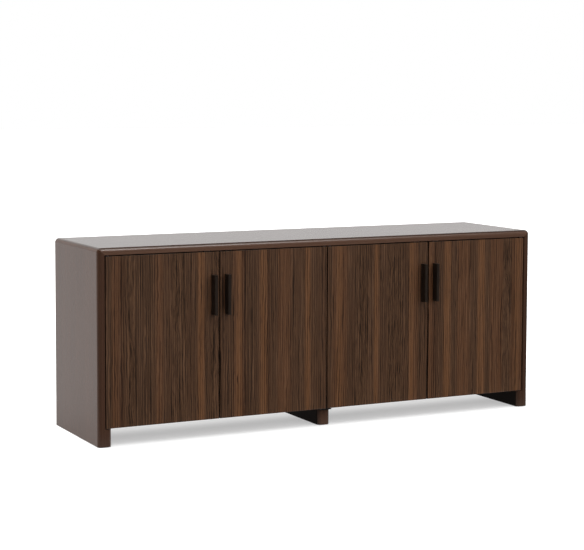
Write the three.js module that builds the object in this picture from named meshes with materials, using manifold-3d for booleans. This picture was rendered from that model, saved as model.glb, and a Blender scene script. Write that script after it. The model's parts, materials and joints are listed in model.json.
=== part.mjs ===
// Office credenza: a low cabinet with slab sides, a mitred top and two pairs of pivot-hung doors.
// Millimetres, +Z up, doors facing -Y, origin on the floor under the middle of the overall box.
import * as THREE from 'three';
import { mergeVertices } from 'three/addons/utils/BufferGeometryUtils.js';
import Module from 'manifold-3d';

const wasm = await Module();
wasm.setup();

// Cabinet
const width = 1800;
const bodyDepth = 450;
const height = 700;
const topThickness = 25;
const stripWidth = 25; // outer part of a side, beside the door
const landWidth = 25; // inner part of a side, which the door closes over
const partitionThickness = 50;
const bottomThickness = 25;
const backThickness = 10;
const backInset = 5; // back panel in from the rear edges
const shelfThickness = 25;
const shelfHeight = 385; // floor to the shelf's underside
const shelfSetback = 20; // shelf in from the land behind the door
const cornerRadius = 16; // where the top turns down into the sides
const frontRadius = 15; // front edges of the top and the slabs
const shelfEdgeRadius = 2;

// Doors
const doorThickness = 18;
const doorBottom = 66; // floor to the lower edge
const doorRecess = 1; // door face behind the front of the sides
const doorGap = 4; // beside, above and between the doors
const bottomGap = 2; // below the doors, above the shoulders
const doorBackGap = 3; // room behind a door for its inner corner to swing
const doorEdgeRadius = 2;
const bottomCover = 5; // the door hangs this far below the bottom panel

// Pulls
const pullLength = 144;
const pullThickness = 12;
const pullProjection = 30;
const pullFromTop = 82; // door's top edge to the upper end
const pullFromEdge = 18; // from the door's free edge
const pullEdgeRadius = 2;

// Door pivots
const pivotFromEdge = 8; // axis in from the hinge edge
const pivotFromFace = 6.5; // axis behind the door's face
const pivotPinRadius = 2.5;
const pivotBushWall = 1.3;
const pivotFlangeRadius = 6;
const topShankLength = 18;
const topPinReach = 8; // pin above the underside of the top
const topCollarThickness = 1;
const topFlangeThickness = 1.5;
const bottomPinReach = 14; // pin above the door's lower edge
const bottomBushLength = 16;
const pivotPlateThickness = 2;
const pivotPlateLength = 14;
const pivotPlateWidth = 12;
const pivotPlateFront = 3.5; // plate's front edge ahead of the pivot
const centrePlateThickness = 3;
const centrePlateWidth = 42;
const centrePlateTongue = 40; // depth let into the partition
const centrePlateSetback = 3; // plate behind the doors' faces

// Catches
const catchBodyWidth = 30;
const catchEarWidth = 48;
const catchEarDepth = 6;
const catchDepth = 15;
const catchHeight = 14;
const catchFromEdge = 40; // catch centre from the door's free edge
const strikeWidth = 38;
const strikeHeight = 12;
const strikeThickness = 1.2;
const strikeFromTop = 2; // strike below the door's top edge
const strikeCornerRadius = 3;

// Shelf pins and glides
const shelfPinRadius = 2.5;
const shelfPinDepth = 9;
const shelfPinRest = 9; // length under the shelf
const shelfPinRestRadius = 3.5;
const shelfPinFromFront = 50; // pin from the shelf's front and rear edges
const glideStand = 1; // slab above the floor
const glideSink = 2; // pad let into the slab
const glideRadius = 15;
const glideChamfer = 1;
const glideStemRadius = 4;
const glideStemLength = 22;
const glideFromFront = 60; // glide centre from the slab's front and rear edges

// Clearances and facets
const seam = 0.3; // between pieces that are fitted together
const overrun = 5; // cutters run past what they cut
const roundSides = 24;
const smallSides = 16;
const cornerSteps = 8;
const frontSteps = 8;
const edgeSteps = 3;

// Places worked out from the sizes
const overallDepth = bodyDepth + pullProjection - doorRecess;
const backY = overallDepth / 2;
const frontY = backY - bodyDepth;
const doorFaceY = frontY + doorRecess;
const doorRearY = doorFaceY + doorThickness;
const landY = doorRearY + doorBackGap;
const backFaceY = backY - backInset - backThickness;
const halfWidth = width / 2;
const stripX = halfWidth - stripWidth;
const innerX = stripX - landWidth;
const partitionX = partitionThickness / 2;
const topUnder = height - topThickness;
const doorTop = topUnder - doorGap;
const shoulder = doorBottom - bottomGap;
const bottomUnder = doorBottom + bottomCover;
const doorWidth = (stripX - 2.5 * doorGap) / 2; // two doors, two gaps and half the middle gap to a side
const pivotY = doorFaceY + pivotFromFace;
const pivotBoreRadius = pivotPinRadius + seam;
const pivotBushRadius = pivotBoreRadius + pivotBushWall;
const shelfFrontY = landY + shelfSetback;
const shelfRearY = backFaceY - seam;
const shelfPinZ = shelfHeight - seam - shelfPinRestRadius;
const glideTop = glideStand + glideSink;

// Geometry helpers

const ordered = (a, b) => [Math.min(a, b), Math.max(a, b)];

function box(x, y, z) {
  const geometry = new THREE.BoxGeometry(x[1] - x[0], y[1] - y[0], z[1] - z[0]);
  return geometry.translate((x[0] + x[1]) / 2, (y[0] + y[1]) / 2, (z[0] + z[1]) / 2);
}

// A corner from one flat to the next, turning about a centre between two angles
function arc(centre, radius, start, end) {
  const points = [];
  for (let step = 0; step <= cornerSteps; step += 1) {
    const angle = start + ((end - start) * step) / cornerSteps;
    const x = centre[0] + radius * Math.cos(angle);
    const y = centre[1] + radius * Math.sin(angle);
    points.push(new THREE.Vector2(x, y));
  }
  return points;
}

function outline(...pieces) {
  const points = pieces.map((piece) => (Array.isArray(piece) ? new THREE.Vector2(...piece) : piece));
  return new THREE.Shape(points);
}

function rectangle(a, b) {
  return outline([a[0], b[0]], [a[1], b[0]], [a[1], b[1]], [a[0], b[1]]);
}

// A plan outline carried upwards
function upwards(shape, z, bevel = 0, bevelSteps = edgeSteps) {
  const geometry = new THREE.ExtrudeGeometry(shape, {
    depth: z[1] - z[0] - 2 * bevel,
    bevelEnabled: bevel > 0,
    bevelThickness: bevel,
    bevelSize: bevel,
    bevelOffset: -bevel,
    bevelSegments: bevelSteps,
  });
  return geometry.translate(0, 0, z[0] + bevel);
}

// A front outline in X and Z carried back along Y, with rounded edges front and rear
function backwards(shape, y, bevel = 0, bevelSteps = edgeSteps) {
  return upwards(shape, [-y[1], -y[0]], bevel, bevelSteps).rotateX(Math.PI / 2);
}

// A side outline in Y and Z carried along X
function across(shape, x) {
  const turn = new THREE.Matrix4().makeBasis(
    new THREE.Vector3(0, 1, 0),
    new THREE.Vector3(0, 0, 1),
    new THREE.Vector3(1, 0, 0),
  );
  return upwards(shape, x).applyMatrix4(turn);
}

// A profile of radius and height turned about a vertical axis
function turned(profile, sides, at = [0, 0, 0]) {
  const points = profile.map((point) => new THREE.Vector2(...point));
  return new THREE.LatheGeometry(points, sides).rotateX(Math.PI / 2).translate(...at);
}

function rod(radius, x, y, z, sides = roundSides) {
  const geometry = new THREE.CylinderGeometry(radius, radius, z[1] - z[0], sides).rotateX(Math.PI / 2);
  return geometry.translate(x, y, (z[0] + z[1]) / 2);
}

function solid(geometry) {
  const bare = geometry.clone();
  bare.deleteAttribute('normal');
  bare.deleteAttribute('uv');
  const merged = mergeVertices(bare);
  return new wasm.Manifold(new wasm.Mesh({
    numProp: 3,
    vertProperties: new Float32Array(merged.getAttribute('position').array),
    triVerts: new Uint32Array(merged.index.array),
  }));
}

function surface(body) {
  const mesh = body.getMesh();
  const geometry = new THREE.BufferGeometry();
  geometry.setAttribute('position', new THREE.BufferAttribute(mesh.vertProperties, 3));
  geometry.setIndex(new THREE.BufferAttribute(mesh.triVerts, 1));
  geometry.computeVertexNormals();
  return geometry;
}

function cut(body, cutters) {
  return cutters.reduce((left, cutter) => left.subtract(solid(cutter)), body);
}

// Materials

const wood = () => new THREE.MeshStandardMaterial({ color: 0x4a3428, roughness: 0.5, metalness: 0 });
const innerWood = () => new THREE.MeshStandardMaterial({ color: 0x3d2b21, roughness: 0.65, metalness: 0 });
const bronze = () => new THREE.MeshStandardMaterial({ color: 0x17120f, roughness: 0.4, metalness: 0.6 });
const steel = () => new THREE.MeshStandardMaterial({ color: 0xb9b9b6, roughness: 0.3, metalness: 1 });
const blackSteel = () => new THREE.MeshStandardMaterial({ color: 0x242322, roughness: 0.45, metalness: 0.8 });
const nylon = () => new THREE.MeshStandardMaterial({ color: 0x1c1a19, roughness: 0.6, metalness: 0 });

const credenza = new THREE.Group();

function add(name, geometry, material) {
  const mesh = new THREE.Mesh(geometry, material);
  mesh.name = name;
  credenza.add(mesh);
}

// What repeats: the two sides of the cabinet, the four doors and the slabs on the floor

const sides = [
  { name: 'left', sign: -1 },
  { name: 'right', sign: 1 },
];

const doors = sides.flatMap(({ name, sign }) => [
  { name: `${name}_outer`, hinge: sign * (stripX - doorGap), toFree: -sign },
  { name: `${name}_inner`, hinge: (sign * doorGap) / 2, toFree: sign },
]);
doors.forEach((door) => {
  door.free = door.hinge + door.toFree * doorWidth;
  door.pivot = door.hinge + door.toFree * pivotFromEdge;
});

const outerPivots = doors.filter((door) => door.name.endsWith('outer')).map((door) => door.pivot);
const innerPivots = doors.filter((door) => door.name.endsWith('inner')).map((door) => door.pivot);

const slabs = [
  { name: 'left', x: -(innerX + halfWidth) / 2, front: frontY },
  { name: 'centre', x: 0, front: landY },
  { name: 'right', x: (innerX + halfWidth) / 2, front: frontY },
];
const glidePlaces = slabs.flatMap(({ name, x, front }) => [
  { name: `${name}_front_glide`, x, y: front + glideFromFront },
  { name: `${name}_rear_glide`, x, y: backY - glideFromFront },
]);

const shelfPins = sides.flatMap(({ name, sign }) => [
  { wall: sign * innerX, into: sign, y: shelfFrontY + shelfPinFromFront },
  { wall: sign * innerX, into: sign, y: shelfRearY - shelfPinFromFront },
  { wall: sign * partitionX, into: -sign, y: shelfFrontY + shelfPinFromFront },
  { wall: sign * partitionX, into: -sign, y: shelfRearY - shelfPinFromFront },
].map((pin, index) => ({ ...pin, name: `${name}_shelf_pin_${index + 1}` })));

// Holes that the fittings sit in

const glideHoles = glidePlaces.flatMap(({ x, y }) => {
  const stemZ = [glideStand - overrun, glideTop + glideStemLength + seam];
  return [
    rod(glideStemRadius + seam, x, y, stemZ, smallSides),
    rod(glideRadius + seam, x, y, [glideStand - overrun, glideTop]),
  ];
});

const shelfPinHoles = shelfPins.map(({ wall, into, y }) => {
  const hole = rod(shelfPinRadius + seam, 0, 0, [-overrun, shelfPinDepth + seam], smallSides);
  return hole.rotateY((into * Math.PI) / 2).translate(wall, y, shelfPinZ);
});

// A pivot plate let into a side's shoulder, or with room round it the pocket that it lies in
function sidePlate(pivot, room, top) {
  const halfPlate = pivotPlateWidth / 2 + room;
  const plateFront = pivotY - pivotPlateFront;
  const plateY = [plateFront - room, plateFront + pivotPlateLength + room];
  return box([pivot - halfPlate, pivot + halfPlate], plateY, [shoulder - pivotPlateThickness, top]);
}

const platePockets = outerPivots.map((pivot) => sidePlate(pivot, seam, shoulder + overrun));

// The block that the top and the sides are cut from, with its rounded corners and front edges

function outerBlock() {
  const runOut = glideStand - 2 * frontRadius;
  const high = height - cornerRadius;
  const turn = halfWidth - cornerRadius;
  const shape = outline(
    [-halfWidth, runOut],
    [halfWidth, runOut],
    ...arc([turn, high], cornerRadius, 0, Math.PI / 2),
    ...arc([-turn, high], cornerRadius, Math.PI / 2, Math.PI),
  );
  return solid(backwards(shape, [frontY, backY + 2 * frontRadius], frontRadius, frontSteps));
}

const block = outerBlock();

// Top panel, mitred into the sides

function topPanel() {
  const mitre = seam * Math.SQRT2;
  const shape = outline(
    [-halfWidth + mitre, height],
    [-stripX + mitre, topUnder],
    [stripX - mitre, topUnder],
    [halfWidth - mitre, height],
  );
  const panel = solid(backwards(shape, [frontY - overrun, backY])).intersect(block);
  const holeRadius = pivotBushRadius + seam;
  const holeZ = [topUnder - overrun, topUnder + topPinReach + 2 * seam];
  const holes = doors.map(({ pivot }) => rod(holeRadius, pivot, pivotY, holeZ));
  return surface(cut(panel, holes));
}

add('top_panel', topPanel(), wood());

// Side slabs: a strip beside the door, a land behind it, and a full-thickness foot below it

function legCorner(sign) {
  const corner = sign * (innerX + frontRadius);
  const outside = sign * (innerX - overrun);
  const start = sign > 0 ? Math.PI : 0;
  return outline(
    [outside, frontY + frontRadius],
    ...arc([corner, frontY + frontRadius], frontRadius, start, start + (sign * Math.PI) / 2),
    [corner, frontY - overrun],
    [outside, frontY - overrun],
  );
}

function sidePanel(sign) {
  const shape = outline(
    [sign * halfWidth, glideStand],
    [sign * halfWidth, height],
    [sign * stripX, topUnder],
    [sign * stripX, topUnder - seam],
    [sign * innerX, topUnder - seam],
    [sign * innerX, glideStand],
  );
  const panel = solid(backwards(shape, [frontY - overrun, backY])).intersect(block);
  const rebateX = ordered(sign * stripX, sign * (innerX - overrun));
  return surface(cut(panel, [
    box(rebateX, [frontY - overrun, landY], [shoulder, topUnder + overrun]),
    upwards(legCorner(sign), [glideStand - overrun, shoulder + overrun]),
    ...platePockets,
    ...glideHoles,
    ...shelfPinHoles,
  ]));
}

sides.forEach(({ name, sign }) => add(`${name}_side_panel`, sidePanel(sign), wood()));

// Centre partition, set back behind the doors

function centrePartition() {
  const flat = partitionX - frontRadius;
  const shape = outline(
    [-partitionX, backY],
    ...arc([-flat, landY + frontRadius], frontRadius, Math.PI, (3 * Math.PI) / 2),
    ...arc([flat, landY + frontRadius], frontRadius, -Math.PI / 2, 0),
    [partitionX, backY],
  );
  const slotX = centrePlateWidth / 2 + seam;
  const slotZ = [shoulder - centrePlateThickness - seam, shoulder + seam];
  const slot = box([-slotX, slotX], [landY - overrun, landY + centrePlateTongue + seam], slotZ);
  const slab = solid(upwards(shape, [glideStand, topUnder - seam]));
  return surface(cut(slab, [slot, ...glideHoles, ...shelfPinHoles]));
}

add('centre_partition', centrePartition(), wood());

// Bottom panels, back panels and shelves, one of each to a bay

function bay(sign, gap) {
  return ordered(sign * (partitionX + gap), sign * (innerX - gap));
}

function shelf(x) {
  const round = shelfEdgeRadius;
  const low = shelfHeight + round;
  const high = shelfHeight + shelfThickness - round;
  const shape = outline(
    [shelfRearY, shelfHeight],
    [shelfRearY, shelfHeight + shelfThickness],
    ...arc([shelfFrontY + round, high], round, Math.PI / 2, Math.PI),
    ...arc([shelfFrontY + round, low], round, Math.PI, (3 * Math.PI) / 2),
  );
  return across(shape, x);
}

sides.forEach(({ name, sign }) => {
  const x = bay(sign, seam);
  const bottomZ = [bottomUnder, bottomUnder + bottomThickness];
  const backZ = [bottomUnder, topUnder - seam];
  add(`${name}_bottom_panel`, box(x, [landY, backFaceY - seam], bottomZ), innerWood());
  add(`${name}_back_panel`, box(x, [backFaceY, backFaceY + backThickness], backZ), wood());
  add(`${name}_shelf`, shelf(bay(sign, 2 * seam)), innerWood());
});

shelfPins.forEach(({ name, wall, into, y }) => {
  const pin = turned([
    [0, -shelfPinRest],
    [shelfPinRestRadius, -shelfPinRest],
    [shelfPinRestRadius, 0],
    [shelfPinRadius, 0],
    [shelfPinRadius, shelfPinDepth],
    [0, shelfPinDepth],
  ], smallSides);
  add(name, pin.rotateY((into * Math.PI) / 2).translate(wall, y, shelfPinZ), steel());
});

// Doors, with the bores for their pivots

function doorPanel({ hinge, free, pivot }) {
  const shape = rectangle(ordered(hinge, free), [doorBottom, doorTop]);
  const panel = solid(backwards(shape, [doorFaceY, doorRearY], doorEdgeRadius));
  const bore = pivotBushRadius + seam;
  return surface(cut(panel, [
    rod(bore, pivot, pivotY, [doorTop - topShankLength - seam, doorTop + overrun]),
    rod(bore, pivot, pivotY, [doorBottom - overrun, doorBottom + bottomBushLength + seam]),
  ]));
}

function pull({ free, toFree }) {
  const near = free - toFree * pullFromEdge;
  const [x0, x1] = ordered(near, near - toFree * pullThickness);
  const tip = doorFaceY - pullProjection;
  const round = pullEdgeRadius;
  const shape = outline(
    [x1, doorFaceY],
    [x0, doorFaceY],
    ...arc([x0 + round, tip + round], round, Math.PI, (3 * Math.PI) / 2),
    ...arc([x1 - round, tip + round], round, -Math.PI / 2, 0),
  );
  const high = doorTop - pullFromTop;
  return upwards(shape, [high - pullLength, high]);
}

// Pivots: a collared pin in the door's top edge turns in a bush in the top panel,
// and a bush in the door's lower edge turns on a pin that stands on a plate

function topPin() {
  return [
    [0, doorTop - topShankLength],
    [pivotBushRadius, doorTop - topShankLength],
    [pivotBushRadius, doorTop],
    [pivotFlangeRadius, doorTop],
    [pivotFlangeRadius, doorTop + topCollarThickness],
    [pivotPinRadius, doorTop + topCollarThickness],
    [pivotPinRadius, topUnder + topPinReach],
    [0, topUnder + topPinReach],
  ];
}

function topBush() {
  return [
    [pivotBoreRadius, topUnder - topFlangeThickness],
    [pivotFlangeRadius, topUnder - topFlangeThickness],
    [pivotFlangeRadius, topUnder],
    [pivotBushRadius, topUnder],
    [pivotBushRadius, topUnder + topPinReach + seam],
    [pivotBoreRadius, topUnder + topPinReach + seam],
    [pivotBoreRadius, topUnder - topFlangeThickness],
  ];
}

function bottomBush() {
  return [
    [pivotBoreRadius, shoulder + seam],
    [pivotFlangeRadius, shoulder + seam],
    [pivotFlangeRadius, doorBottom],
    [pivotBushRadius, doorBottom],
    [pivotBushRadius, doorBottom + bottomBushLength],
    [pivotBoreRadius, doorBottom + bottomBushLength],
    [pivotBoreRadius, shoulder + seam],
  ];
}

function pinnedPlate(plate, pivots) {
  const pinZ = [shoulder - pivotPlateThickness / 2, doorBottom + bottomPinReach];
  const pins = pivots.map((x) => solid(rod(pivotPinRadius, x, pivotY, pinZ)));
  return surface(pins.reduce((body, pin) => body.add(pin), solid(plate)));
}

// Catches: a block with two ears under the top, and a strike plate on the door's back

function catchBlock(x) {
  const faceY = doorRearY + strikeThickness + seam;
  const earY = faceY + catchDepth - catchEarDepth;
  const rearY = faceY + catchDepth;
  const body = catchBodyWidth / 2;
  const ear = catchEarWidth / 2;
  const shape = outline(
    [x - body, faceY],
    [x + body, faceY],
    [x + body, earY],
    [x + ear, earY],
    [x + ear, rearY],
    [x - ear, rearY],
    [x - ear, earY],
    [x - body, earY],
  );
  return upwards(shape, [topUnder - catchHeight, topUnder]);
}

function strikePlate(x) {
  const round = strikeCornerRadius;
  const flat = strikeWidth / 2 - round;
  const high = doorTop - strikeFromTop - round;
  const low = doorTop - strikeFromTop - strikeHeight + round;
  const shape = outline(
    ...arc([x + flat, low], round, -Math.PI / 2, 0),
    ...arc([x + flat, high], round, 0, Math.PI / 2),
    ...arc([x - flat, high], round, Math.PI / 2, Math.PI),
    ...arc([x - flat, low], round, Math.PI, (3 * Math.PI) / 2),
  );
  return backwards(shape, [doorRearY, doorRearY + strikeThickness]);
}

doors.forEach((door) => {
  const axis = [door.pivot, pivotY, 0];
  const catchX = door.free - door.toFree * catchFromEdge;
  add(`${door.name}_door`, doorPanel(door), wood());
  add(`${door.name}_pull`, pull(door), bronze());
  add(`${door.name}_top_pin`, turned(topPin(), roundSides, axis), steel());
  add(`${door.name}_top_bush`, turned(topBush(), roundSides, axis), nylon());
  add(`${door.name}_bottom_bush`, turned(bottomBush(), roundSides, axis), nylon());
  add(`${door.name}_strike`, strikePlate(catchX), steel());
  add(`${door.name}_catch`, catchBlock(catchX), nylon());
});

outerPivots.forEach((pivot) => {
  const name = pivot < 0 ? 'left' : 'right';
  const plate = sidePlate(pivot, 0, shoulder);
  add(`${name}_pivot_plate`, pinnedPlate(plate, [pivot]), blackSteel());
});

const centrePlate = box(
  [-centrePlateWidth / 2, centrePlateWidth / 2],
  [doorFaceY + centrePlateSetback, landY + centrePlateTongue],
  [shoulder - centrePlateThickness, shoulder],
);
add('centre_pivot_plate', pinnedPlate(centrePlate, innerPivots), blackSteel());

// Glides under the slabs

glidePlaces.forEach(({ name, x, y }) => {
  const profile = [
    [0, 0],
    [glideRadius - glideChamfer, 0],
    [glideRadius, glideChamfer],
    [glideRadius, glideTop],
    [glideStemRadius, glideTop],
    [glideStemRadius, glideTop + glideStemLength],
    [0, glideTop + glideStemLength],
  ];
  add(name, turned(profile, roundSides, [x, y, 0]), nylon());
});

export default credenza;
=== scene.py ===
import json
from math import copysign, cos, pi, radians, sqrt

import bmesh
import bpy
from mathutils import Matrix, Vector

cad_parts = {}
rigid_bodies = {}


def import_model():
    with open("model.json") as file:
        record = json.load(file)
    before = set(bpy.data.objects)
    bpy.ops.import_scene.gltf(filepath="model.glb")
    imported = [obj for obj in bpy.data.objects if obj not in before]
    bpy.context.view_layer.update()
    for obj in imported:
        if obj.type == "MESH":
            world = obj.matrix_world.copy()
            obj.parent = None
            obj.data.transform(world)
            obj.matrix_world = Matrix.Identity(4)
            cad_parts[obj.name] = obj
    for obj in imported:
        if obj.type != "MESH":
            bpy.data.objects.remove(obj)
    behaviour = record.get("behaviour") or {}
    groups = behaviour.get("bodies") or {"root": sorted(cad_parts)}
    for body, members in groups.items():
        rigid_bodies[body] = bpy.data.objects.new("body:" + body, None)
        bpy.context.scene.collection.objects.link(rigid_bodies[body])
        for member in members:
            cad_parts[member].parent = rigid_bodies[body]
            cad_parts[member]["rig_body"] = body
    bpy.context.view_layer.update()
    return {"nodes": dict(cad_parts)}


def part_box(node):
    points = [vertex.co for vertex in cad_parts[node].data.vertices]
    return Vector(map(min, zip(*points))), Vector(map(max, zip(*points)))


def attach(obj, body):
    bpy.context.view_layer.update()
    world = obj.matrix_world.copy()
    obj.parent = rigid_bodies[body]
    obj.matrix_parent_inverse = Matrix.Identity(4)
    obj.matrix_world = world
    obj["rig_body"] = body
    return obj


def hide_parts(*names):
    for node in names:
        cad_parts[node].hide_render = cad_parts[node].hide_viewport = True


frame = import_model()  # metres, doors facing -Y, origin on the floor
nodes = frame["nodes"]
scene = bpy.context.scene
scene.view_settings.view_transform = "Standard"
mm = 0.001
print("frame:", len(nodes), "nodes")


# Camera, at the photograph's viewing angle
cameraView = {
    "place": (-2.922, -5.6796, 1.2602),
    "yaw": 26.892,  # degrees to the right of +Y
    "pitch": -4.416,
    "roll": 0.193,
    "lens": 103.96,
    "shift": -0.1,  # the cabinet stands below the middle of the frame
}


def standCamera(view):
    data = bpy.data.cameras.new("camera")
    data.lens = view["lens"]
    data.shift_y = view["shift"]
    camera = bpy.data.objects.new("camera", data)
    turn = Matrix.Rotation(radians(-view["yaw"]), 4, "Z")
    tilt = Matrix.Rotation(radians(90 + view["pitch"]), 4, "X")
    roll = Matrix.Rotation(radians(view["roll"]), 4, "Z")
    camera.matrix_world = Matrix.Translation(view["place"]) @ turn @ tilt @ roll
    scene.collection.objects.link(camera)
    scene.camera = camera


standCamera(cameraView)
print("camera: set")


# Node trees: expressions on wires add Math nodes, everything else comes from NodeBench.add
def plug(socket, value):
    if isinstance(value, list):  # a socket that takes several links
        for one in value:
            plug(socket, one)
    elif isinstance(value, Wire):
        socket.id_data.links.new(value.socket, socket)
    else:
        socket.default_value = value


def setStops(ramp, stops):
    while len(ramp.elements) > 1:
        ramp.elements.remove(ramp.elements[-1])
    for count, (position, colour) in enumerate(stops):
        stop = ramp.elements[0] if count == 0 else ramp.elements.new(position)
        stop.position = position
        stop.color = colour


class Wire:
    def __init__(self, socket):
        self.socket = socket

    def maths(self, operation, first, second):
        node = self.socket.id_data.nodes.new("ShaderNodeMath")
        node.operation = operation
        plug(node.inputs[0], first)
        plug(node.inputs[1], second)
        return Wire(node.outputs[0])

    def sine(self):
        return self.maths("SINE", self, 0)

    def __add__(self, other):
        return self.maths("ADD", self, other)

    def __radd__(self, other):
        return self.maths("ADD", other, self)

    def __sub__(self, other):
        return self.maths("SUBTRACT", self, other)

    def __rsub__(self, other):
        return self.maths("SUBTRACT", other, self)

    def __mul__(self, other):
        return self.maths("MULTIPLY", self, other)

    def __rmul__(self, other):
        return self.maths("MULTIPLY", other, self)

    def __truediv__(self, other):
        return self.maths("DIVIDE", self, other)


class NodeBench:
    def __init__(self, tree):
        self.tree = tree
        tree.nodes.clear()

    def add(self, kind, settings={}, sockets={}, out=0):
        node = self.tree.nodes.new(kind)
        for name, value in settings.items():
            if name == "stops":
                setStops(node.color_ramp, value)
            else:
                setattr(node, name, value)
        for name, value in sockets.items():
            plug(node.inputs[name], value)
        return Wire(node.outputs[out]) if len(node.outputs) else None

    def ramp(self, value, low, high, start=0.0, end=1.0):
        settings = {"interpolation_type": "SMOOTHSTEP"}
        return self.add("ShaderNodeMapRange", settings, {0: value, 1: low, 2: high, 3: start, 4: end})


class FinishBench(NodeBench):
    def __init__(self, name):
        self.material = bpy.data.materials.new(name)
        self.material.use_nodes = True
        super().__init__(self.material.node_tree)
        self.place = self.add("ShaderNodeTexCoord", out=3)  # Object coordinates

    def axis(self, place, index):
        return self.add("ShaderNodeSeparateXYZ", {}, {0: place}, out=index)

    def slid(self, place, amount):  # moved along X
        spot = {0: self.axis(place, 0) + amount, 1: self.axis(place, 1), 2: self.axis(place, 2)}
        return self.add("ShaderNodeCombineXYZ", {}, spot)

    def noise(self, place, stretch, detail=2.0, roughness=0.5):
        spot = self.add("ShaderNodeVectorMath", {"operation": "MULTIPLY"}, {0: place, 1: stretch})
        sockets = {"Vector": spot, "Scale": 1.0, "Detail": detail, "Roughness": roughness}
        return self.add("ShaderNodeTexNoise", {}, sockets)

    def sway(self, place, stretch, detail=2.0, roughness=0.5):  # noise about zero
        return self.noise(place, stretch, detail, roughness) - 0.5

    def blend(self, factor, first, second, how="MIX"):
        settings = {"data_type": "RGBA", "blend_type": how}
        return self.add("ShaderNodeMix", settings, {0: factor, 6: first, 7: second}, out=2)

    def scaled(self, colour, amount):
        return self.add("ShaderNodeVectorMath", {"operation": "SCALE"}, {0: colour, "Scale": amount})

    def bump(self, height, strength, distance):
        return self.add("ShaderNodeBump", {}, {"Height": height, "Strength": strength, "Distance": distance})

    def surface(self, sockets):
        shader = self.add("ShaderNodeBsdfPrincipled", {}, sockets)
        self.add("ShaderNodeOutputMaterial", {}, {0: shader})
        return self.material


class PatternBench(NodeBench):
    def __init__(self, name, sockets):
        super().__init__(bpy.data.node_groups.new(name, "GeometryNodeTree"))
        face = self.tree.interface
        face.new_socket("Geometry", in_out="OUTPUT", socket_type="NodeSocketGeometry")
        kinds = {"Geometry": "NodeSocketGeometry"} | sockets
        self.keys = {
            title: face.new_socket(title, in_out="INPUT", socket_type=kind).identifier
            for title, kind in kinds.items()
        }
        source = self.tree.nodes.new("NodeGroupInput")
        self.given = {title: Wire(source.outputs[title]) for title in kinds}

    def close(self, geometry):
        whole = self.add("GeometryNodeRealizeInstances", {}, {0: geometry})
        finished = self.add("GeometryNodeSetMaterial", {}, {0: whole, 2: self.given["Finish"]})
        self.add("NodeGroupOutput", {}, {0: finished})

    def run(self, piece, values):  # leaves a plain mesh in place of the piece's own
        modifier = piece.modifiers.new(self.tree.name, "NODES")
        modifier.node_group = self.tree
        for title, value in values.items():
            modifier[self.keys[title]] = value
        ready = piece.evaluated_get(bpy.context.evaluated_depsgraph_get())
        mesh = bpy.data.meshes.new_from_object(ready)
        piece.modifiers.clear()
        mesh.name = piece.name
        piece.data = mesh


def tone(red, green, blue):  # a screen colour, 0 to 255, as Blender's linear colour
    def linear(value):
        share = value / 255
        return share / 12.92 if share <= 0.04045 else ((share + 0.055) / 1.055) ** 2.4
    return (linear(red), linear(green), linear(blue), 1.0)


# Studio: white floor and surroundings, soft light from the front, from behind the left side and from above
studio = {
    "ambient": 0.46,
    "frontGloss": 0.03,  # in reflections the camera's side of the studio and its ceiling are dark
    "frontFade": (0.0, 0.7),  # how far towards the back that dark side reaches
    "backWall": (0.3, 0.5),  # how far up the back stays light
    "floorShade": 0.34,
    "floorWhiter": 0.2,  # added where the camera sees the floor itself
    "floorGlow": 0.44,
    "floorHalf": 40.0,
    "floorDark": (-0.45, -0.2),  # where along Y the floor fades in reflections
    "floorRear": (-0.06, 0.1, 0.25),  # painted light: from, to, and how much lighter the floor grows towards the back, under the cabinet
    "suns": {  # azimuth from the front towards the right, elevation, strength, softness, seen by
        "key_light": (30, 46, 2.7, 80, "diffuse"),
        "left_light": (-135, 35, 3.2, 50, "diffuse"),
        "top_light": (0, 80, 1.15, 60, "both"),
        "rim_light": (206, 45, 0.5, 30, "both"),
        "edge_light": (34, 51, 0.65, 17, "gloss"),
    },
}


def lightPaths(bench):  # camera, glossy and transmission rays
    return [bench.add("ShaderNodeLightPath", out=index) for index in (0, 3, 6)]


def lightWorld(settings):
    world = bpy.data.worlds.new("studio")
    world.use_nodes = True
    scene.world = world
    bench = NodeBench(world.node_tree)
    camera, glossy, through = lightPaths(bench)
    direction = bench.add("ShaderNodeTexCoord")
    backwards, upwards = (bench.add("ShaderNodeSeparateXYZ", {}, {0: direction}, out=way) for way in (1, 2))
    gloss = bench.ramp(backwards, *settings["frontFade"], settings["frontGloss"], 1.0)
    gloss = gloss * bench.ramp(upwards, *settings["backWall"], 1.0, settings["frontGloss"])
    seen = camera + glossy + through
    strength = settings["ambient"] * (1 - seen) + camera + through + glossy * gloss
    light = bench.add("ShaderNodeBackground", {}, {0: (1, 1, 1, 1), 1: strength})
    bench.add("ShaderNodeOutputWorld", {}, {0: light})


def hangSuns(suns):
    for name, (azimuth, elevation, strength, softness, seenBy) in suns.items():
        data = bpy.data.lights.new(name, "SUN")
        data.energy = strength
        data.angle = radians(softness)
        lamp = bpy.data.objects.new(name, data)
        lamp.visible_diffuse = seenBy != "gloss"
        lamp.visible_glossy = seenBy != "diffuse"
        turn = Matrix.Rotation(radians(azimuth), 4, "Z")
        lamp.matrix_world = turn @ Matrix.Rotation(radians(90 - elevation), 4, "X")
        scene.collection.objects.link(lamp)


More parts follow.
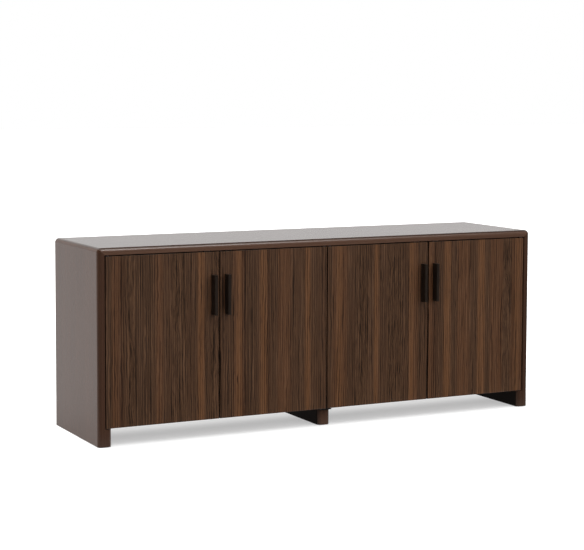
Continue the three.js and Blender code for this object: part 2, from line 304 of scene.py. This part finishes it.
def layFloor(settings):
    half = settings["floorHalf"]
    corners = [(-half, -half, 0), (half, -half, 0), (half, half, 0), (-half, half, 0)]
    mesh = bpy.data.meshes.new("studio_floor")
    mesh.from_pydata(corners, [], [(0, 1, 2, 3)])
    floor = bpy.data.objects.new("studio_floor", mesh)
    scene.collection.objects.link(floor)
    bench = FinishBench("studioFloor")
    camera, glossy, through = lightPaths(bench)
    backwards = bench.axis(bench.place, 1)
    fade = bench.ramp(backwards, *settings["floorDark"], settings["frontGloss"], 1.0)
    shade = settings["floorShade"] * (1 - glossy * (1 - fade)) + settings["floorWhiter"] * camera
    matt = bench.add("ShaderNodeBsdfDiffuse", {}, {0: bench.scaled((1, 1, 1), shade)})
    start, end, extra = settings["floorRear"]
    # painted light: the floor glows lighter towards the back, as if lit from behind under the cabinet
    rear = bench.ramp(backwards, start, end, 0.0, extra)
    strength = (camera + glossy * fade + through) * settings["floorGlow"] + camera * rear
    glow = bench.add("ShaderNodeEmission", {}, {0: (1, 1, 1, 1), 1: strength})
    both = bench.add("ShaderNodeAddShader", {}, {0: matt, 1: glow})
    bench.add("ShaderNodeOutputMaterial", {}, {0: both})
    mesh.materials.append(bench.material)


lightWorld(studio)
hangSuns(studio["suns"])
layFloor(studio)
print("studio: lit")


# Door veneer: planks of differing tone laid side by side, with fine grain and flamed figure
plankTones = {
    "dark": tone(63, 42, 27),
    "brown": tone(69, 46, 30),
    "warm": tone(81, 52, 32),
    "gold": tone(94, 61, 36),
    "line": tone(58, 35, 20),
    "flamed": tone(66, 44, 28),
}
doorGrain = {  # noise by its features to a metre across, through and along
    "drift": (5, 5, 1.1),
    "driftWidth": 0.012,  # how far a plank's edge wanders, by share of the door's width
    "ragged": (200, 200, 2.5),
    "raggedWidth": 0.015,
    "softEdge": 0.012,
    "lines": (230, 230, 1.8),
    "lineDepth": 0.5,
    "bands": (80, 80, 1.5),
    "bandDepth": 0.15,
    "hairs": (620, 620, 6.0),
    "hairDepth": 0.6,
    "fullDepth": 0.4,  # depth of figure at which the dark or the pale tone is strongest
    "darkTone": tone(20, 11, 5),
    "darkShare": 0.9,
    "paleTone": tone(112, 80, 56),
    "paleShare": 0.45,
    "pores": (700, 700, 30),
    "poreRange": (0.56, 0.7),
    "poreShare": 0.35,
    "roughness": 0.36,
    "rougher": 0.2,  # in the pores and lines
    "gloss": 0.3,
    "bump": (0.25, 0.15 * mm),
}
doorRibs = {
    "spacing": 8.8 * mm,
    "wave": (25, 25, 20),
    "waveWidth": 6 * mm,
    "wander": (60, 60, 2.0),
    "wanderWidth": 20 * mm,
    "patches": (100, 100, 6),
    "patchRange": (0.35, 0.6, 0.45),  # between patches the ribs keep the last share of their depth
    "depth": 0.28,
}
doorFlames = {
    "bend": (30, 30, 20),
    "bendWidth": 20 * mm,
    "lean": (9, 9, 3.0),
    "leanWidth": 80 * mm,
    "streaks": (260, 260, 20),
    "streakRange": (0.36, 0.58, -1.0, 0.6),
    "depth": 0.18,
    "elsewhere": 0.2,  # share of the depth outside the flamed planks
}
# Each door's planks from its left edge, by share of the width
doorLeaves = {
    "left_outer": [
        (0.0, "dark"), (0.055, "warm"), (0.115, "line"), (0.15, "brown"), (0.19, "flamed"), (0.25, "dark"),
        (0.4, "brown"), (0.435, "warm"), (0.495, "brown"), (0.58, "flamed"), (0.7, "brown"), (0.805, "gold"),
        (0.865, "brown"), (0.92, "flamed"),
    ],
    "left_inner": [
        (0.0, "brown"), (0.12, "warm"), (0.15, "gold"), (0.2, "line"), (0.235, "dark"), (0.31, "brown"),
        (0.365, "gold"), (0.43, "line"), (0.46, "brown"), (0.535, "warm"), (0.655, "brown"), (0.79, "gold"),
        (0.84, "brown"),
    ],
    "right_inner": [
        (0.0, "brown"), (0.05, "warm"), (0.09, "gold"), (0.14, "warm"), (0.19, "brown"), (0.28, "flamed"),
        (0.42, "brown"), (0.46, "gold"), (0.505, "brown"), (0.59, "flamed"), (0.75, "brown"), (0.81, "gold"),
        (0.86, "warm"), (0.9, "brown"),
    ],
    "right_outer": [
        (0.0, "warm"), (0.05, "line"), (0.09, "brown"), (0.16, "gold"), (0.23, "brown"), (0.3, "warm"),
        (0.43, "brown"), (0.515, "gold"), (0.59, "brown"), (0.65, "warm"), (0.78, "flamed"), (0.875, "warm"),
        (0.92, "gold"), (0.965, "warm"),
    ],
}


def plankStops(strips, shades):
    soft = doorGrain["softEdge"]
    stops = [(0.0, shades[strips[0][1]])]
    for (_, before), (start, colour) in zip(strips, strips[1:]):
        stops += [(start - soft, shades[before]), (start + soft, shades[colour])]
    return stops


def drawRibs(bench, place):  # fine wavy lines side by side, from -1 to 1
    ribs = doorRibs
    wave = bench.sway(place, ribs["wave"], detail=1.0) * ribs["waveWidth"]
    wander = bench.sway(place, ribs["wander"], detail=1.0) * ribs["wanderWidth"]
    turns = (bench.axis(place, 0) + wave + wander) / ribs["spacing"]
    patches = bench.ramp(bench.noise(place, ribs["patches"], detail=1.0), *ribs["patchRange"])
    return (turns * 2 * pi).sine() * patches


def drawFlames(bench, place, flamed):  # slanted dark streaks, from -1 to 0.6
    flames = doorFlames
    bend = bench.sway(place, flames["bend"]) * flames["bendWidth"]
    lean = bench.sway(place, flames["lean"], detail=1.0) * flames["leanWidth"]
    streaks = bench.noise(bench.slid(place, bend + lean), flames["streaks"], roughness=0.55)
    share = flamed * (1 - flames["elsewhere"]) + flames["elsewhere"]
    return bench.ramp(streaks, *flames["streakRange"]) * share


def doorVeneer(name, strips):
    grain = doorGrain
    low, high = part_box(name + "_door")
    bench = FinishBench(name + "_veneer")
    place = bench.place
    drift = bench.sway(place, grain["drift"], detail=1.0) * grain["driftWidth"]
    ragged = bench.sway(place, grain["ragged"]) * grain["raggedWidth"]
    plank = (bench.axis(place, 0) - low.x) / (high.x - low.x) + drift + ragged
    leaf = bench.add("ShaderNodeValToRGB", {"stops": plankStops(strips, plankTones)}, {0: plank})
    masks = {colour: (1, 1, 1, 1) if colour == "flamed" else (0, 0, 0, 1) for colour in plankTones}
    flamed = bench.add("ShaderNodeValToRGB", {"stops": plankStops(strips, masks)}, {0: plank})
    lines = bench.sway(place, grain["lines"], detail=1.0, roughness=0.6)
    bands = bench.sway(place, grain["bands"])
    hairs = bench.sway(place, grain["hairs"], detail=1.0)
    pores = bench.ramp(bench.noise(place, grain["pores"]), *grain["poreRange"])
    figure = lines * grain["lineDepth"] + bands * grain["bandDepth"] + hairs * grain["hairDepth"]
    figure = figure + drawFlames(bench, place, flamed) * doorFlames["depth"]
    figure = figure + drawRibs(bench, place) * doorRibs["depth"]
    for kind, depth in (("dark", 0 - figure), ("pale", figure)):
        share = bench.ramp(depth, 0.0, grain["fullDepth"], 0.0, grain[kind + "Share"])
        leaf = bench.blend(share, leaf, grain[kind + "Tone"])
    return bench.surface({
        "Base Color": bench.blend(pores * grain["poreShare"], leaf, grain["darkTone"]),
        "Roughness": grain["roughness"] + (pores + lines) * grain["rougher"],
        "Specular IOR Level": grain["gloss"],
        "Normal": bench.bump(lines - pores, *grain["bump"]),
    })


# Frame veneer: one even brown with a faint straight grain, with painted light or shade along one axis as
# each veneer sets it
frameGrain = {
    "tones": (tone(59, 40, 30), tone(73, 50, 38)),
    "cloud": (16, 16, 0.5),
    "lines": (260, 260, 2.0),
    "lineDepth": 0.35,
    "pores": (700, 700, 16),
    "poreRange": (0.56, 0.7),
    "poreDepth": 0.12,
    "roughness": 0.23,
    "rougher": 0.05,  # in the pores and lines
    "gloss": 0.42,
    "bump": (0.03, 0.1 * mm),
    "fade": (2, 0.0, 1.0, 1.0, 1.0),  # painted light and shade along one axis: axis, from, to, and the shade at either end
}


def frameVeneer(name, turn, shift, changes={}):
    grain = frameGrain | changes
    bench = FinishBench(name)
    place = bench.add("ShaderNodeMapping", {}, {0: bench.place, 1: shift, 2: turn})
    cloud = bench.noise(place, grain["cloud"])
    lines = bench.sway(place, grain["lines"], detail=3.0, roughness=0.6)
    pores = bench.ramp(bench.noise(place, grain["pores"]), *grain["poreRange"])
    shade = 1 + lines * grain["lineDepth"] - pores * grain["poreDepth"]
    # painted light and shade: the colour scaled along one axis of the board
    axis, *fade = grain["fade"]
    shade = shade * bench.ramp(bench.axis(bench.place, axis), *fade)
    return bench.surface({
        "Base Color": bench.scaled(bench.blend(cloud, *grain["tones"]), shade),
        "Roughness": grain["roughness"] + (pores + lines) * grain["rougher"],
        "Specular IOR Level": grain["gloss"],
        "Normal": bench.bump(lines - pores, *grain["bump"]),
    })


upright = (0, 0, 0)
lengthwise = (0, -pi / 2, 0)  # grain along X
sideVeneer = frameVeneer("side_veneer", upright, (0.3, 0.1, 0), {
    "gloss": 0.18, "lineDepth": 1.0, "fade": (1, -0.2, -0.19, 0.8, 1.0),  # painted shade: the front edge darker
})
topVeneer = frameVeneer("top_veneer", lengthwise, (0.7, 0.4, 0), {
    "tones": (tone(47, 32, 24), tone(58, 40, 30)),
    "gloss": 0.53, "lineDepth": 0.7, "fade": (1, -0.2102, -0.204, 2.2, 1.0),  # painted light: the front edge lighter, as if lit more from above
})
backVeneer = frameVeneer("back_veneer", upright, (1.3, 0.9, 0))
innerVeneer = frameVeneer("inner_veneer", upright, (2.1, 0.6, 0), {
    "roughness": 0.6, "gloss": 0.05, "fade": (2, 0.055, 0.065, 0.15, 1.0),  # painted shade: darker below the doors, where the legs' inner faces stand in shadow
})
# painted shade: a near-black tone for the faces inside the door gaps and a dark band on the doors' edges
darkEdgeAndGapShade = frameVeneer("edge_lacquer", upright, (0.5, 1.7, 0), {
    "tones": (tone(26, 18, 13), tone(34, 24, 18)), "roughness": 0.6, "gloss": 0.08,
})


# Inner boards: dark brown faced chipboard
boardFace = {
    "streaks": (180, 180, 2.5),
    "tones": (tone(58, 40, 30), tone(88, 63, 48)),
    "speckle": (900, 900, 900),
    "roughness": 0.5,
    "rougher": 0.2,  # in the speckle
    "gloss": 0.3,
    "bump": (0.1, 0.1 * mm),
}


def facedBoard():
    face = boardFace
    bench = FinishBench("inner_board")
    place = bench.add("ShaderNodeMapping", {}, {0: bench.place, 2: lengthwise})
    streaks = bench.noise(place, face["streaks"], detail=3.0, roughness=0.6)
    speckle = bench.noise(place, face["speckle"])
    return bench.surface({
        "Base Color": bench.blend(streaks, *face["tones"]),
        "Roughness": face["roughness"] + speckle * face["rougher"],
        "Specular IOR Level": face["gloss"],
        "Normal": bench.bump(speckle, *face["bump"]),
    })


# Bronze: brushed along its length, lighter and more metallic along the arrises, partly wear and partly a
# painted sheen
bronzeLook = {
    "brushed": (2600, 2600, 45),
    "cloud": (40, 40, 25),
    "tones": (tone(34, 25, 19), tone(46, 36, 28)),
    "wear": (160, 160, 60),
    "wearRange": (0.4, 0.65),
    "wornTone": tone(92, 70, 54),
    "wornShare": 0.5,
    "metallic": 0.35,
    "wornMetallic": 0.4,
    "roughness": 0.36,
    "rougher": 0.18,  # across the brushing
    "bump": (0.12, 0.05 * mm),
}


def darkBronze():
    look = bronzeLook
    bench = FinishBench("dark_bronze")
    brushed = bench.noise(bench.place, look["brushed"], detail=3.0, roughness=0.6)
    cloud = bench.noise(bench.place, look["cloud"])
    arris = bench.add("ShaderNodeAttribute", {"attribute_name": "arris"}, out=2)
    # wear and painted sheen along the arrises, in patches
    wearAndSheen = arris * bench.ramp(bench.noise(bench.place, look["wear"], detail=3.0), *look["wearRange"])
    colour = bench.blend(cloud, *look["tones"])
    return bench.surface({
        "Base Color": bench.blend(wearAndSheen * look["wornShare"], colour, look["wornTone"]),
        "Metallic": look["metallic"] + wearAndSheen * look["wornMetallic"],
        "Roughness": look["roughness"] + brushed * look["rougher"],
        "Normal": bench.bump(brushed, *look["bump"]),
    })


# Small fittings: a cloudy tone with fine marks
fittingLooks = {
    "plated_steel": {
        "cloud": (220, 220, 220), "cloudDetail": 3.0, "marks": (3200, 260, 260), "markDetail": 2.0,
        "tones": (tone(176, 177, 178), tone(206, 205, 200)), "metallic": 1.0,
        "roughness": 0.24, "cloudRougher": 0.16, "markRougher": 0.08, "bump": (0.1, 0.04 * mm),
    },
    "blacked_steel": {
        "cloud": (150, 150, 150), "cloudDetail": 3.0, "marks": (150, 150, 150), "markDetail": 3.0,
        "tones": (tone(26, 24, 23), tone(40, 38, 36)), "metallic": 0.7,
        "roughness": 0.4, "cloudRougher": 0.0, "markRougher": 0.15, "bump": (0.1, 0.05 * mm),
    },
    "moulded_nylon": {
        "cloud": (60, 60, 60), "cloudDetail": 2.0, "marks": (1500, 1500, 1500), "markDetail": 2.0,
        "tones": (tone(24, 22, 21), tone(36, 33, 31)), "metallic": 0.0,
        "roughness": 0.5, "cloudRougher": 0.0, "markRougher": 0.2, "bump": (0.15, 0.08 * mm),
    },
}


def fittingFinish(name):
    look = fittingLooks[name]
    bench = FinishBench(name)
    cloud = bench.noise(bench.place, look["cloud"], look["cloudDetail"])
    marks = bench.noise(bench.place, look["marks"], look["markDetail"])
    return bench.surface({
        "Base Color": bench.blend(cloud, *look["tones"]),
        "Metallic": look["metallic"],
        "Roughness": look["roughness"] + cloud * look["cloudRougher"] + marks * look["markRougher"],
        "Normal": bench.bump(marks, *look["bump"]),
    })


innerBoard = facedBoard()
bronze = darkBronze()
steel, blackSteel, nylon = (fittingFinish(name) for name in fittingLooks)
print("finishes: made")


# Boards: merged copies of the solids with softened arrises and smooth rounded edges
boardEdges = {
    "weld": 0.001 * mm,
    "flat": radians(0.5),
    "near": 1 * mm,
    "arris": 0.6 * mm,
    "pullArris": 0.5 * mm,
    "arrisSteps": 2,
    "sharp": radians(40),
    "smooth": radians(50),
    "shortest": 2 * mm,  # the rims of small holes stay crisp
    "foot": 2.5 * mm,  # rounding where the slabs meet the floor
    "footHeight": 1.5 * mm,
    "glideRoom": 19 * mm,
    "seam": 0.3 * mm,  # the solids' clearance, closed round the back panels to keep light out
    "squarely": 0.9,  # least part of a normal along an axis that its face looks along
    "edgeOn": 0.5,
}
shell = {
    "boards": ("top_panel", "left_side_panel", "right_side_panel"),
    "corner": 16 * mm,
    "front": 15 * mm,
    "within": cos(radians(6)),  # how near a face's normal lies to the rounded skin's
}
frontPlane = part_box("top_panel")[0].y
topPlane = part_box("top_panel")[1].z
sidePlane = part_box("right_side_panel")[1].x
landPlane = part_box("centre_partition")[0].y
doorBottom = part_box("left_outer_door")[0].z
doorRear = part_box("left_outer_door")[1].y
glides = [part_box(name)[0].lerp(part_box(name)[1], 0.5) for name in nodes if name.endswith("_glide")]


def onMitre(point):
    return abs(abs(point.x) - point.z - sidePlane + topPlane) < boardEdges["near"]


def atFoot(point):
    clear = all((point - glide).xy.length > boardEdges["glideRoom"] for glide in glides)
    return point.z < boardEdges["footHeight"] and clear


def easeEdges(work, width, chosen):
    sharp = [
        edge for edge in work.edges
        if edge.is_manifold
        and edge.calc_face_angle() > boardEdges["sharp"]
        and edge.calc_length() > boardEdges["shortest"]
        and chosen([corner.co for corner in edge.verts])
    ]
    return bmesh.ops.bevel(
        work, geom=sharp, offset=width, offset_type="OFFSET", segments=boardEdges["arrisSteps"],
        profile=0.5, affect="EDGES", clamp_overlap=True,
    )["faces"]


def shellNormal(point):  # of the rounded skin that the top and both sides share
    out = abs(point.x) - sidePlane + shell["corner"]
    up = point.z - topPlane + shell["corner"]
    if min(out, up) <= 0:
        out, up = (1, 0) if out > up else (0, 1)
    ahead = min(max((frontPlane + shell["front"] - point.y) / shell["front"], 0), 1)
    outline = Vector((copysign(out, point.x), 0, up)).normalized()
    return outline * sqrt(1 - ahead * ahead) - Vector((0, ahead, 0))


def softNormals(mesh, exact=None):
    faces = mesh.polygons
    around = {}
    for face in faces:
        for corner in face.vertices:
            around.setdefault(corner, []).append(face)
    normals = []
    for face in faces:
        onShell = exact and face.normal.dot(exact(face.center)) > shell["within"]
        for corner in face.vertices:
            if onShell:
                normals.append(exact(mesh.vertices[corner].co))
                continue
            near = [
                other for other in around[corner]
                if face.normal.angle(other.normal, 0) < boardEdges["smooth"]
            ]
            total = sum((other.normal * other.area for other in near), Vector())
            normals.append(total.normalized())
    faces.foreach_set("use_smooth", [True] * len(faces))
    mesh.normals_split_custom_set(normals)


def boardFrom(node, ending, finish, arris=boardEdges["arris"]):
    work = bmesh.new()
    work.from_mesh(nodes[node].data)
    bmesh.ops.remove_doubles(work, verts=work.verts, dist=boardEdges["weld"])
    bmesh.ops.dissolve_limit(work, angle_limit=boardEdges["flat"], verts=work.verts, edges=work.edges)
    layer = work.faces.layers.float.new("arris")
    easeEdges(work, boardEdges["foot"], lambda ends: all(atFoot(end) for end in ends))
    for face in easeEdges(work, arris, lambda ends: not all(onMitre(end) for end in ends)):
        face[layer] = 1.0
    mesh = bpy.data.meshes.new(node + ending)
    work.to_mesh(mesh)
    work.free()
    mesh.materials.append(finish)
    piece = bpy.data.objects.new(node + ending, mesh)
    scene.collection.objects.link(piece)
    return piece


def closeSeams(mesh, node):
    low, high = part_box(node)
    seam, near = boardEdges["seam"], boardEdges["near"]
    for corner in mesh.vertices:
        spot = corner.co
        spot.x += seam * ((spot.x > high.x - near) - (spot.x < low.x + near))
        spot.z += seam * (spot.z > high.z - near)


def hang(piece, node):  # the piece takes the node's place
    softNormals(piece.data, shellNormal if node in shell["boards"] else None)
    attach(piece, nodes[node]["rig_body"])
    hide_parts(node)


def coat(mesh, finish, chosen):
    mesh.materials.append(finish)
    for face in mesh.polygons:
        if chosen(face):
            face.material_index = len(mesh.materials) - 1


def looksInside(face):
    inwards = face.normal.x * face.center.x < 0 or abs(face.center.x) < sidePlane / 2
    return inwards and abs(face.normal.x) > boardEdges["squarely"]


def looksAhead(face):
    return face.normal.y < -boardEdges["squarely"]


def inDoorGap(face):
    ahead = face.center.y < landPlane + boardEdges["near"] and face.center.z > doorBottom
    return ahead and (looksInside(face) or looksAhead(face) and face.center.y > doorRear)


def isEdge(face):
    return abs(face.normal.y) < boardEdges["edgeOn"]


# Rows of shelf-pin holes above and below each pin, drilled into the slabs
pinHoles = {
    "Pitch": 32 * mm,
    "Count": 4,
    "Radius": 2.5 * mm,
    "Depth": 9 * mm,
}
bitSides = 16


def pinRowTree():
    kinds = {"Pitch": "NodeSocketFloat", "Count": "NodeSocketInt", "Radius": "NodeSocketFloat"}
    kinds |= {"Depth": "NodeSocketFloat", "Pin": "NodeSocketVector", "Finish": "NodeSocketMaterial"}
    bench = PatternBench("pin_row", kinds)
    given = bench.given
    bit = bench.add("GeometryNodeMeshCylinder", {}, {0: bitSides, 3: given["Radius"], 4: given["Depth"] * 2})
    bit = bench.add("GeometryNodeTransform", {}, {0: bit, "Rotation": (0, pi / 2, 0)})
    cutters = []
    for way in (1, -1):
        step = bench.add("ShaderNodeCombineXYZ", {}, {2: given["Pitch"] * way})
        first = bench.add("ShaderNodeVectorMath", {"operation": "ADD"}, {0: given["Pin"], 1: step})
        row = bench.add("GeometryNodeMeshLine", {}, {0: given["Count"], 2: first, 3: step})
        holes = bench.add("GeometryNodeInstanceOnPoints", {}, {0: row, 2: bit})
        cutters.append(bench.add("GeometryNodeRealizeInstances", {}, {0: holes}))
    settings = {"operation": "DIFFERENCE", "solver": "EXACT"}
    bench.close(bench.add("GeometryNodeMeshBoolean", settings, {0: given["Geometry"], 1: cutters}))
    return bench


def drillRows(slab, node, finish):
    low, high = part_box(node)
    for name in nodes:
        if "_shelf_pin_" not in name:
            continue
        pinLow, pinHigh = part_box(name)
        middle = (pinLow + pinHigh) / 2
        wall = low.x if abs(low.x - middle.x) < abs(high.x - middle.x) else high.x
        if pinLow.x < wall < pinHigh.x:
            pinRow.run(slab, pinHoles | {"Pin": (wall, middle.y, middle.z), "Finish": finish})


pinRow = pinRowTree()

hang(boardFrom("top_panel", "_veneered", topVeneer), "top_panel")
for name in ("left_side_panel", "right_side_panel", "centre_partition"):
    slab = boardFrom(name, "_veneered", sideVeneer)
    drillRows(slab, name, sideVeneer)
    coat(slab.data, innerVeneer, looksInside)
    # painted shade on the faces inside the door gaps
    coat(slab.data, darkEdgeAndGapShade, inDoorGap)
    hang(slab, name)
for side in ("left", "right"):
    back = boardFrom(side + "_back_panel", "_veneered", backVeneer)
    closeSeams(back.data, side + "_back_panel")
    coat(back.data, innerBoard, looksAhead)
    hang(back, side + "_back_panel")
    for name in (side + "_bottom_panel", side + "_shelf"):
        hang(boardFrom(name, "_faced", innerBoard), name)
for name, strips in doorLeaves.items():
    leaf = boardFrom(name + "_door", "_veneered", doorVeneer(name, strips))
    # the doors' edges take the near-black gap tone, partly painted shade
    coat(leaf.data, darkEdgeAndGapShade, isEdge)
    hang(leaf, name + "_door")
    pull = boardFrom(name + "_pull", "_bronzed", bronze, boardEdges["pullArris"])
    hang(pull, name + "_pull")
print("boards: made")


# Screws: pan heads with a cross recess, one mesh to a body
screwHead = {"Height": 0.55, "Slot": 0.24}  # by share of the head's radius
screwForm = {"sides": 20, "rings": 10, "slotLength": 1.1, "below": 4, "seed": 7}
screwPlaces = {
    "pull": {"radius": 4 * mm, "fromMiddle": 48 * mm},
    "strike": {"radius": 1.7 * mm, "fromMiddle": 16.8 * mm},
    "ear": {"radius": 2.4 * mm, "fromEnd": 4.5 * mm, "fromBack": 3 * mm},
    "back": {"radius": 3.5 * mm, "fromEdge": 9 * mm, "spacing": 170 * mm},
}


def screwTree():
    kinds = {"Height": "NodeSocketFloat", "Slot": "NodeSocketFloat", "Finish": "NodeSocketMaterial"}
    bench = PatternBench("screw_heads", kinds)
    given = bench.given
    high = given["Height"]

    def block(size, middle):
        cube = bench.add("GeometryNodeMeshCube", {}, {0: size})
        return bench.add("GeometryNodeTransform", {}, {0: cube, "Translation": middle})

    form = screwForm
    dome = bench.add("GeometryNodeMeshUVSphere", {}, {0: form["sides"], 1: form["rings"], 2: 1.0})
    shape = bench.add("ShaderNodeCombineXYZ", {}, {0: 1.0, 1: 1.0, 2: high})
    dome = bench.add("GeometryNodeTransform", {}, {0: dome, "Scale": shape})
    above = bench.add("ShaderNodeCombineXYZ", {}, {2: high})
    cuts = [block((form["below"],) * 3, (0, 0, -form["below"] / 2))]  # the sphere's lower half
    for along, across in ((form["slotLength"], given["Slot"]), (given["Slot"], form["slotLength"])):
        cuts.append(block(bench.add("ShaderNodeCombineXYZ", {}, {0: along, 1: across, 2: high}), above))
    settings = {"operation": "DIFFERENCE", "solver": "EXACT"}
    head = bench.add("GeometryNodeMeshBoolean", settings, {0: dome, 1: cuts})
    facing = bench.add("GeometryNodeInputNamedAttribute", {"data_type": "FLOAT_VECTOR"}, {"Name": "facing"})
    radius = bench.add("GeometryNodeInputNamedAttribute", {"data_type": "FLOAT"}, {"Name": "radius"})
    stand = bench.add("FunctionNodeAlignRotationToVector", {"axis": "Z"}, {2: facing})
    sockets = {0: given["Geometry"], 2: head, 5: stand, 6: radius}
    heads = bench.add("GeometryNodeInstanceOnPoints", {}, sockets)
    chance = {2: 0.0, 3: pi, 8: form["seed"]}
    spin = bench.add("FunctionNodeRandomValue", {"data_type": "FLOAT"}, chance, out=1)
    turn = bench.add("ShaderNodeCombineXYZ", {}, {2: spin})
    bench.close(bench.add("GeometryNodeRotateInstances", {}, {0: heads, 2: turn}))
    return bench


def driveScrews(name, body, screws):  # each screw is its place, facing and head radius
    places, facings, radii = zip(*screws)
    mesh = bpy.data.meshes.new(name)
    mesh.from_pydata(places, [], [])
    for title, kind, values in (("facing", "FLOAT_VECTOR", facings), ("radius", "FLOAT", radii)):
        layer = mesh.attributes.new(title, kind, "POINT")
        for item, value in zip(layer.data, values):
            setattr(item, "vector" if kind == "FLOAT_VECTOR" else "value", value)
    piece = bpy.data.objects.new(name, mesh)
    scene.collection.objects.link(piece)
    screwHeads.run(piece, screwHead | {"Finish": steel})
    softNormals(piece.data)
    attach(piece, body)


def evenly(start, end, spacing):
    count = max(1, round((end - start) / spacing))
    return [start + (end - start) * step / count for step in range(count + 1)]


def leafScrews(name):
    pull, strike = screwPlaces["pull"], screwPlaces["strike"]
    low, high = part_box(name + "_pull")
    middle = (low + high) / 2
    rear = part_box(name + "_door")[1].y
    screws = [
        ((middle.x, rear, middle.z + way * pull["fromMiddle"]), (0, 1, 0), pull["radius"]) for way in (-1, 1)
    ]
    low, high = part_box(name + "_strike")
    middle = (low + high) / 2
    screws += [
        ((middle.x + way * strike["fromMiddle"], high.y, middle.z), (0, 1, 0), strike["radius"])
        for way in (-1, 1)
    ]
    return screws


def carcaseScrews():
    ear, back = screwPlaces["ear"], screwPlaces["back"]
    screws = []
    for name in doorLeaves:
        low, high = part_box(name + "_catch")
        for x in (low.x + ear["fromEnd"], high.x - ear["fromEnd"]):
            screws.append(((x, high.y - ear["fromBack"], low.z), (0, 0, -1), ear["radius"]))
    for side in ("left", "right"):
        low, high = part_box(side + "_back_panel")
        x0, x1 = low.x + back["fromEdge"], high.x - back["fromEdge"]
        z0, z1 = low.z + back["fromEdge"], high.z - back["fromEdge"]
        rim = [(x, z) for x in evenly(x0, x1, back["spacing"]) for z in (z0, z1)]
        rim += [(x, z) for z in evenly(z0, z1, back["spacing"])[1:-1] for x in (x0, x1)]
        screws += [((x, high.y, z), (0, 1, 0), back["radius"]) for x, z in rim]
    return screws


screwHeads = screwTree()
driveScrews("carcase_screws", nodes["top_panel"]["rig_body"], carcaseScrews())
for name in doorLeaves:
    driveScrews(name + "_screws", nodes[name + "_door"]["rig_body"], leafScrews(name))
print("screws: driven")


# Catch poles: two steel bars on each catch's face
catchPoles = {"width": 24 * mm, "height": 3 * mm, "proud": 0.15 * mm, "apart": 7 * mm}


def polePlates():
    sizes = catchPoles
    work = bmesh.new()
    for name in doorLeaves:
        low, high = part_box(name + "_catch")
        middle = (low + high) / 2
        for way in (-1, 1):
            place = Matrix.Translation((middle.x, low.y, middle.z + way * sizes["apart"] / 2))
            size = Matrix.Diagonal((sizes["width"], 2 * sizes["proud"], sizes["height"], 1))
            bmesh.ops.create_cube(work, size=1.0, matrix=place @ size)
    mesh = bpy.data.meshes.new("catch_poles")
    work.to_mesh(mesh)
    work.free()
    mesh.materials.append(steel)
    poles = bpy.data.objects.new("catch_poles", mesh)
    scene.collection.objects.link(poles)
    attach(poles, nodes["top_panel"]["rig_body"])


polePlates()
print("catches: faced")


# Fittings that keep their own solids
fittings = {
    "_top_pin": steel, "_strike": steel, "_pivot_plate": blackSteel, "_shelf_pin_": steel,
    "_top_bush": nylon, "_bottom_bush": nylon, "_catch": nylon, "_glide": nylon,
}
for name, node in nodes.items():
    for ending, finish in fittings.items():
        if ending in name:
            node.data.materials.clear()
            node.data.materials.append(finish)
print("fittings: finished")
